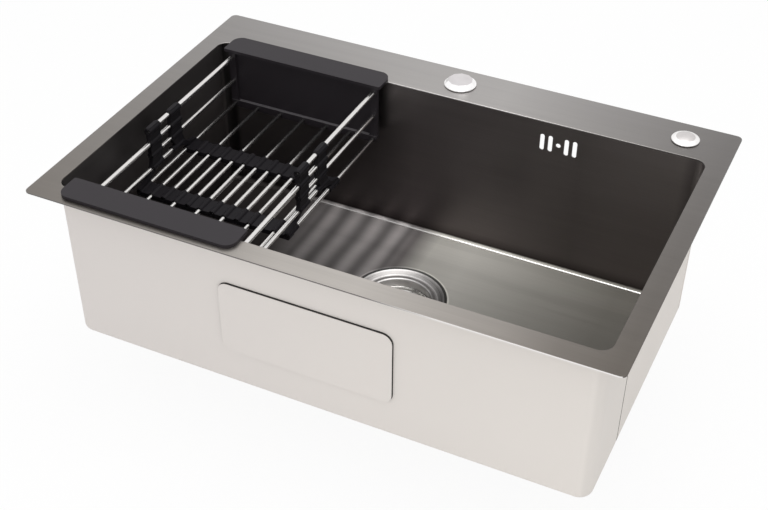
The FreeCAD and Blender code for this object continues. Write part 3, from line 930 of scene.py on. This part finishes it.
# %% [markdown]
# ## The drain
# The drain cup is a pressed and spun part, so a profile turned round its axis gives it. The flange
# is dished to lie in the recess, its mouth has a small rim, and the strainer hangs on a ledge. The
# strainer's wall and floor are perforated with real holes, cut by small cylinders. The profiles are
# in millimetres, like the drawing of a turned part.

# %% The drain
flange = -210.6
ledge = flange - 13
mouth_r = 42
bore_r = 20.5
collar_r = 27
mesh_t = 0.9
mesh_r = 36.1


def make_cup():
    steel, well_r, skirt_r, thread_r, dish_r = 1.6, 37.5, 39.1, 43.8, 50
    base = heights("drain_cup")[0]
    floor = base + steel
    edge = flange + 7.5 * 5 / 11
    profile = [(57.5, edge + 0.1), (57.4, edge + 0.7), (56.9, edge + 0.8), (dish_r, flange + 0.8),
               (45, flange + 0.8), (44.1, flange + 0.7), (43.1, flange + 0.3), (42.3, flange - 0.5),
               (mouth_r, flange - 1.4), (mouth_r, ledge + 0.6), (41.4, ledge), (38.2, ledge),
               (well_r, ledge - 0.7), (well_r, floor + 14), (36.8, floor + 12), (26.4, floor + 0.5),
               (25, floor), (bore_r, floor), (bore_r, base), (collar_r, base), (skirt_r, floor + 13),
               (skirt_r, ledge - steel), (mouth_r, ledge - steel), (mouth_r, flange - 30),
               (thread_r, flange - 30), (thread_r, flange), (dish_r, flange), (57.3, edge),
               (57.5, edge + 0.1)]
    return smoothed(turned("drain_cup", profile, drain_at, 120), 35)


def make_outlet():
    low, high = heights("drain_outlet")
    thread_r, groove_r, pitch, collar = 23.9, 23.0, 1.9, 2
    profile = [(bore_r, high), (collar_r, high), (collar_r, high - collar),
               (thread_r, high - collar)]
    for turn in range(10):
        z = high - 3.4 - turn * pitch
        profile += [(thread_r, z), (groove_r, z - pitch * 0.42), (groove_r, z - pitch * 0.52),
                    (thread_r, z - pitch * 0.94)]
    profile += [(thread_r, low + 0.8), (thread_r - 0.8, low), (bore_r, low), (bore_r, high)]
    return smoothed(turned("drain_outlet", profile, drain_at, 72), 30)


def drills(radius, count, away, height, out, up, offset=0.0, sides=12):
    """A ring of cutters round the drain's axis, each pointing outwards and up by these amounts."""
    tools = []
    for i in range(count):
        turn = 2 * math.pi * (i + offset) / count
        outwards = Vector((math.cos(turn), math.sin(turn), 0))
        reach = (outwards * out + Vector((0, 0, up))).normalized() * mm(2)
        middle = Vector((*drain_at, mm(height))) + outwards * mm(away)
        tools.append(bar("drill", mm(radius), middle - reach, middle + reach, sides))
    return tools


def make_strainer_cup():
    low, high = heights("strainer_cup")
    rim, seat = 41.3, ledge + 0.1
    inner, rim_inner = mesh_r - mesh_t, rim - mesh_t
    profile = [(inner, low), (mesh_r, low), (mesh_r, seat - 0.6), (mesh_r + 0.6, seat),
               (rim - 0.5, seat), (rim, seat + 0.5), (rim, high - 0.3), (rim - mesh_t / 2, high),
               (rim_inner, high - 0.3), (rim_inner, seat + mesh_t + 0.5),
               (rim_inner - 0.5, seat + mesh_t), (mesh_r + 0.3, seat + mesh_t), (inner, seat - 0.2),
               (inner, low)]
    cup = turned("strainer_cup", profile, drain_at)
    holes = []
    for row in range(3):
        holes += drills(1.5, 24, mesh_r - mesh_t / 2, low + 3.5 + 4.5 * row, 1, 0, row / 2, 10)
    return smoothed(cut(cup, joined("drills", holes)), 35)


def make_sieve():
    low, high = heights("strainer_sieve")
    top, hub = low + mesh_t, 3.2
    profile = [(hub, low), (26.4, low), (27.6, low + 0.3), (mesh_r, high), (mesh_r - mesh_t, high),
               (27.1, top + 0.3), (26.2, top), (hub, top), (hub, low)]
    sieve = turned("strainer_sieve", profile, drain_at)
    holes = drills(1.7, 12, 19.44, low + 0.5, 0, 1) + drills(1.7, 16, 23.76, low + 0.5, 0, 1)
    holes += drills(1.6, 20, 31.4, (low + high) / 2 + 0.3, 5.7, -9.1, 0.5)
    return smoothed(cut(sieve, joined("drills", holes)), 35)


def make_knob():
    low, top = heights("strainer_knob")
    neck_r, stem_r, shoulder = 3.5, 2.95, -245.55
    profile = [(0, low), (4.1, low), (4.4, low + 0.3), (4.4, low + 0.85), (stem_r, low + 0.85),
               (stem_r, shoulder), (neck_r, shoulder), (neck_r, top - 6), (3.9, top - 5.2),
               (7.6, top - 3.4), (8.7, top - 2.6), (9, top - 1.9), (8.8, top - 1.1), (8, top - 0.4),
               (6.6, top - 0.05), (5.6, top - 0.1), (4.6, top - 0.45), (2.4, top - 0.7),
               (0, top - 0.8)]
    return smoothed(turned("strainer_knob", profile, drain_at, 64), 40)


dress(make_cup(), flange_steel, "sink", "drain_steel", "drain_cup")
dress(make_outlet(), zinc, "sink", "zinc_steel", "drain_outlet")
dress(make_strainer_cup(), drain_steel, "strainer", "strainer_steel", "strainer_cup")
dress(make_sieve(), drain_steel, "strainer", "strainer_steel", "strainer_sieve")
dress(make_knob(), drain_steel, "strainer", "strainer_steel", "strainer_knob")

# %% [markdown]
# ## The hole covers
# The cover of the tap hole has a flat face with ten facets round it: a cone with ten sides on a
# round edge. The small cover is a low smooth dome, turned from an arc. Both have a stud below.

# %% The hole covers
cap_low = 2.1
cap_edge = 1.6


def on_stud(cap, node):
    """The cap with its stud below."""
    x, y = middle_of(node)
    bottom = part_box(node)[0][2]
    return grown(cap, bar("stud", mm(3), (x, y, bottom), (x, y, mm(cap_low + 1)), 24))


def make_tap_cover():
    node = "tap_hole_cover"
    x, y = middle_of(node)
    foot, top = mm(cap_low + cap_edge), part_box(node)[1][2]
    leave()
    bpy.ops.mesh.primitive_cone_add(
        vertices=10, radius1=mm(19.5), radius2=mm(15), depth=top - foot,
        location=(x, y, (top + foot) / 2), rotation=(0, 0, math.radians(124)))
    cap = settled(node)
    softened(cap, mm(0.25), 2, 20)
    rim = turned("rim", [(0, cap_low), (19.4, cap_low), (19.7, cap_low + 0.3), (19.7, cap_low + 1.3),
                         (19.4, cap_low + 1.7), (0, cap_low + 1.7)], (x, y))
    return smoothed(on_stud(grown(cap, rim), node), 12)


def make_soap_cover():
    node = "soap_hole_cover"
    radius, top, steps = 16.3, heights(node)[1], 11
    rise = top - cap_low - cap_edge
    ball = (radius ** 2 + rise ** 2) / (2 * rise)
    profile = [(0, cap_low), (radius - 0.3, cap_low), (radius, cap_low + 0.3),
               (radius, cap_low + 1.3)]
    for i in range(steps + 1):
        along = (radius - 0.3) * (1 - i / steps)
        profile.append((along, top - ball + math.sqrt(ball ** 2 - along ** 2)))
    return smoothed(on_stud(turned(node, profile, middle_of(node)), node), 30)


dress(make_tap_cover(), cover_steel, "sink", "cover_chrome", "tap_hole_cover")
dress(make_soap_cover(), dome_steel, "sink", "cover_chrome", "soap_hole_cover")

# %% [markdown]
# ## The basket's rods
# Every rod is a straight length of drawn steel with its ends broken by a small bevel. One rod of
# each group is made and copied along x. The node's box gives the first, the last and the length.

# %% The basket's rods
top_rod = mm(3)
low_rod = mm(2.5)


def make_rods(node, count, radius):
    low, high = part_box(node)
    z = (low[2] + high[2]) / 2
    first, last = low[0] + radius, high[0] - radius
    rod = bar(node, radius, (first, low[1], z), (first, high[1], z), 28)
    softened(rod, mm(0.4), 2, 60)
    rods = [twin(rod, node, ((last - first) * i / (count - 1), 0, 0)) for i in range(1, count)]
    return smoothed(joined(node, [rod, *rods]), 40)


for half, count in (("basket_rear", 7), ("basket_front", 6)):
    groups = ("top", 2, top_rod), ("side", 2, low_rod), ("floor", count, low_rod)
    for kind, number, radius in groups:
        node = half + "_" + kind + "_rods"
        finish = low_rod_steel if kind == "floor" else rod_steel
        dress(make_rods(node, number, radius), finish, half + "_half", "rod_steel", node)

# %% [markdown]
# ## The basket's ends
# Each end is one moulding: a flat hook plate that lies on the rim, an end wall, and a raised border
# round the wall's inner side that holds the rods. The wall is a block with a shallow pocket cut into
# its inner face. The plate is a rounded outline with thickness, and its edges are bevelled soft.

# %% The basket's ends
basket_x = mm(-192)
base_z = mm(-77.2)
plate_half = mm(109)
plate_depth = mm(35)
plate_corner = mm(13)
wall_half = mm(104)
wall_t = mm(2.5)
rail_proud = mm(4)
rail_width = mm(9)


def lower_corners(z):
    """A test for the edges along y at the lower corners of a wall."""
    return lambda middle, way: abs(way.y) > 0.9 and near(middle.z, z)


def make_end(node, inner_y, way):
    """An end whose plate reaches outwards from inner_y, along y by the sign of way."""
    low, high = mm(1.6), mm(5.6)
    outer_y = inner_y + way * plate_depth
    plate = sheet_outline(node, (basket_x - plate_half, inner_y), (basket_x + plate_half, outer_y),
                          mm(2), low, 3)
    extruded(plate, (0, 0, high - low))
    for side in (-1, 1):
        outwards = Vector((side, way, 0))
        corner = Vector((basket_x + side * plate_half, outer_y, high + mm(1)))
        x, y, _ = corner - outwards * plate_corner
        square = block("corner", corner + outwards * mm(1), (x, y, low - mm(1)))
        cylinder = bar("round", plate_corner, (x, y, low - mm(2)), (x, y, high + mm(2)), 64)
        cut(plate, cut(square, cylinder))
    wall_y = inner_y + way * mm(7)
    rail_y = wall_y - way * rail_proud
    wall = block("wall", (basket_x - wall_half, rail_y, base_z),
                 (basket_x + wall_half, wall_y + way * wall_t, mm(3.6)))
    bevelled(wall, mm(7), 8, lower_corners(base_z))
    inside = wall_half - rail_width
    pocket = block("pocket", (basket_x - inside, rail_y - way * mm(2), base_z + rail_width),
                   (basket_x + inside, wall_y, low))
    bevelled(pocket, mm(3.5), 6, lower_corners(base_z + rail_width))
    grown(plate, cut(wall, pocket))
    softened(plate, mm(0.9), 3, 50)
    open_up(plate)
    everything()
    bpy.ops.mesh.dissolve_degenerate(threshold=mm(0.003))
    leave()
    return smoothed(plate, 35)


for half, inner_y, way in (("basket_rear", mm(134.2), 1), ("basket_front", mm(-183), -1)):
    node = half + "_end"
    dress(make_end(node, inner_y, way), basket_black, half + "_half", "basket_plastic", node)

# %% [markdown]
# ## The guide frames
# Where the two halves slide through each other, each has a black frame: two bent arms with a tube
# over the top rods, and a bar across the floor with a tube round every rod. The arm's outline is
# extruded sideways, the tubes are cylinders, all are melted together, and the rods' holes drilled.

# %% The guide frames
rod_x = (basket_x - mm(99), basket_x + mm(99))
level = [mm(-6.3 - 16.6 * step) for step in range(5)]
level_rods = (top_rod, top_rod, low_rod, low_rod)
floor_rods = [rod_x[0] + mm(16.5) * i for i in range(13)]
bar_top = level[4] + mm(1.5)
half_arm = mm(11)
half_foot = mm(11.5)
half_web = mm(2.5)
ring = mm(1.5)
play = mm(0.1)


def web(x, mid, foot, way):
    """The bent web of one arm: its outline on one side, its corners rounded, extruded across."""
    toe = foot + way * mm(2)
    here, there, back = mid + way * half_arm, mid - way * half_arm, foot - way * half_foot
    top = level[0] + mm(4.9)
    outline = [(here, top), (there, top), (there, level[3] - mm(4)), (back, bar_top + mm(3)),
               (back, base_z), (toe, base_z), (toe, level[4] + mm(2.5)), (here, level[3] + mm(5))]
    corners = [Vector((x - half_web, y, z)) for y, z in outline]
    piece = drawn("web", corners)
    everything()
    bpy.ops.mesh.edge_face_add()
    for i, radius in ((0, 3), (1, 3), (2, 22), (3, 3), (7, 22)):
        tip = corners[i]
        half = (corners[i - 1] - tip).angle(corners[(i + 1) % 8] - tip) / 2
        pick("VERT", lambda place, _: near(place.y, tip.y) and near(place.z, tip.z))
        bpy.ops.mesh.bevel(offset=mm(radius) / math.tan(half), segments=8, affect="VERTICES")
    return extruded(piece, (2 * half_web, 0, 0))


def make_frame(node, mid, foot, way):
    """A frame with its arms at mid, its floor bar at foot, and the bend between them towards way."""
    hair, proud = mm(0.03), mm(0.02)

    def along_y(radius, x, y, z, half, sides):
        return bar("tube", radius, (x, y - half, z), (x, y + half, z), sides)

    frame_piece = block(node, (rod_x[0] - mm(1), foot - half_foot + hair, base_z + hair),
                        (rod_x[1] + mm(1), foot + half_foot - hair, bar_top))
    tubes = [along_y(low_rod + ring, x, foot, level[4], half_foot + proud, 28)
             for x in floor_rods]
    holes = []
    for x in rod_x:
        tubes.append(web(x, mid, foot, way))
        for z, radius in zip(level, level_rods):
            tubes.append(along_y(radius + ring, x, mid, z, half_arm + proud, 32))
    grown(frame_piece, *tubes)
    for z, radius in zip(level, level_rods):
        holes += [along_y(radius + play, x, mid, z, mm(60), 20) for x in rod_x]
    holes += [along_y(low_rod + play, x, foot, level[4], mm(30), 20) for x in floor_rods]
    return smoothed(cut(frame_piece, joined("holes", holes)), 30)


for half, mid, foot, way in (("basket_rear", mm(-46.45), mm(-75.95), 1),
                             ("basket_front", mm(-2.35), mm(27.15), -1)):
    node = half + "_guide_frame"
    dress(make_frame(node, mid, foot, way), frame_black, half + "_half", "basket_plastic", node)

# %% [markdown]
# ## What stays as it was packed
# The seals, washers and nuts under the sink have the right shape already, so their nodes stay and
# only get a finish.

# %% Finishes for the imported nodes
for finish, names in (
        (foam, ["rim_seal"]),
        (ring_white, ["drain_friction_ring"]),
        (nut_black, ["drain_lock_nut"]),
        (seal_rubber, ["drain_top_seal", "drain_under_washer", "strainer_stopper_seal",
                       "tap_hole_cover_gasket", "soap_hole_cover_gasket"]),
        (zinc, ["tap_hole_clamp_washer", "soap_hole_clamp_washer", "tap_hole_wing_nut",
                "soap_hole_wing_nut"])):
    for name in names:
        paint(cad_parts[name], finish)

# %% [markdown]
# ## The studio
# The object stands on a white floor in a white room that lights it softly from all sides, with one
# broad lamp above it and a weaker one in front at the right. The room is white for the camera and
# in reflections, and dimmer for the light that it gives, so that a tone looks as it was written.

# %% The studio
white = (1, 1, 1, 1)


def make_world():
    world = bpy.data.worlds.new("white room")
    bpy.context.scene.world = world
    world.use_nodes = True
    room = Graph(world.node_tree)
    seen = room.add("LightPath", {}, "Is Camera Ray")
    for ray in ("Is Glossy Ray", "Is Transmission Ray"):
        seen = seen.maths("MAXIMUM", seen, room.add("LightPath", {}, ray))
    sky = room.nodes["Background"]
    room.plug(sky.inputs["Color"], white)
    strength = room.add("MapRange", {"Value": seen, "To Min": 0.72})
    room.plug(sky.inputs["Strength"], strength)


def make_floor():
    leave()
    bpy.ops.mesh.primitive_plane_add(size=8, location=(0, 0, cad_box[0][2]))
    floor = settled("floor")
    finish = Finish("white floor", Base_Color=(0.93, 0.93, 0.93, 1), Roughness=0.9)
    seen = finish.add("LightPath", {}, "Is Camera Ray")
    glow = finish.add("Emission", {"Color": white, "Strength": 1.0})
    matt = Sock(finish, finish.shader.outputs[0])
    mixed = finish.add("MixShader", {0: seen * 0.93, 1: matt, 2: glow})
    out = next(node for node in finish.nodes if node.type == "OUTPUT_MATERIAL")
    finish.plug(out.inputs["Surface"], mixed)
    paint(floor, finish)


def placed(name, data, matrix):
    """A lamp or a camera, put into the scene."""
    holder = bpy.data.objects.new(name, data)
    bpy.context.scene.collection.objects.link(holder)
    holder.matrix_world = matrix
    return holder


def lamp(name, place, aim, size, power):
    light = bpy.data.lights.new(name, "AREA")
    light.shape = "SQUARE"
    light.size = size
    light.energy = power
    turn = (Vector(aim) - Vector(place)).to_track_quat("-Z", "Y").to_matrix().to_4x4()
    placed(name, light, Matrix.Translation(place) @ turn)


make_world()
make_floor()
lamp("top", place=(0.10, 0.05, 1.6), aim=(0.05, 0, -0.1), size=1.2, power=13.0)
lamp("front", place=(0.6, -2.4, 0.9), aim=(0, 0, -0.1), size=1.8, power=5.0)
bpy.context.scene.view_settings.view_transform = "Standard"

# %% [markdown]
# ## The camera
# The camera stands where the photograph's did: to the right of the middle, 40 degrees up. Its
# place and turn come from matching the deck's corners, the opening and the edges of the bowl. The
# focal length and the upward shift are in pixels of a picture 768 wide.

# %% The camera


def make_camera():
    eye = Vector((0.51240, -1.11808, 0.83276))
    right = Vector((0.903267, 0.429032, 0.00629))
    down = Vector((0.280008, -0.578282, -0.76628))
    ahead = Vector((-0.325121, 0.693917, -0.642476))
    width, focal, shift = 768, 1317.4, 45
    lens = bpy.data.cameras.new("camera")
    lens.sensor_width = 36.0
    lens.lens = focal / width * lens.sensor_width
    lens.shift_y = shift / width
    turn = Matrix((right, -down, -ahead)).transposed().to_4x4()
    bpy.context.scene.camera = placed("camera", lens, Matrix.Translation(eye) @ turn)


make_camera()
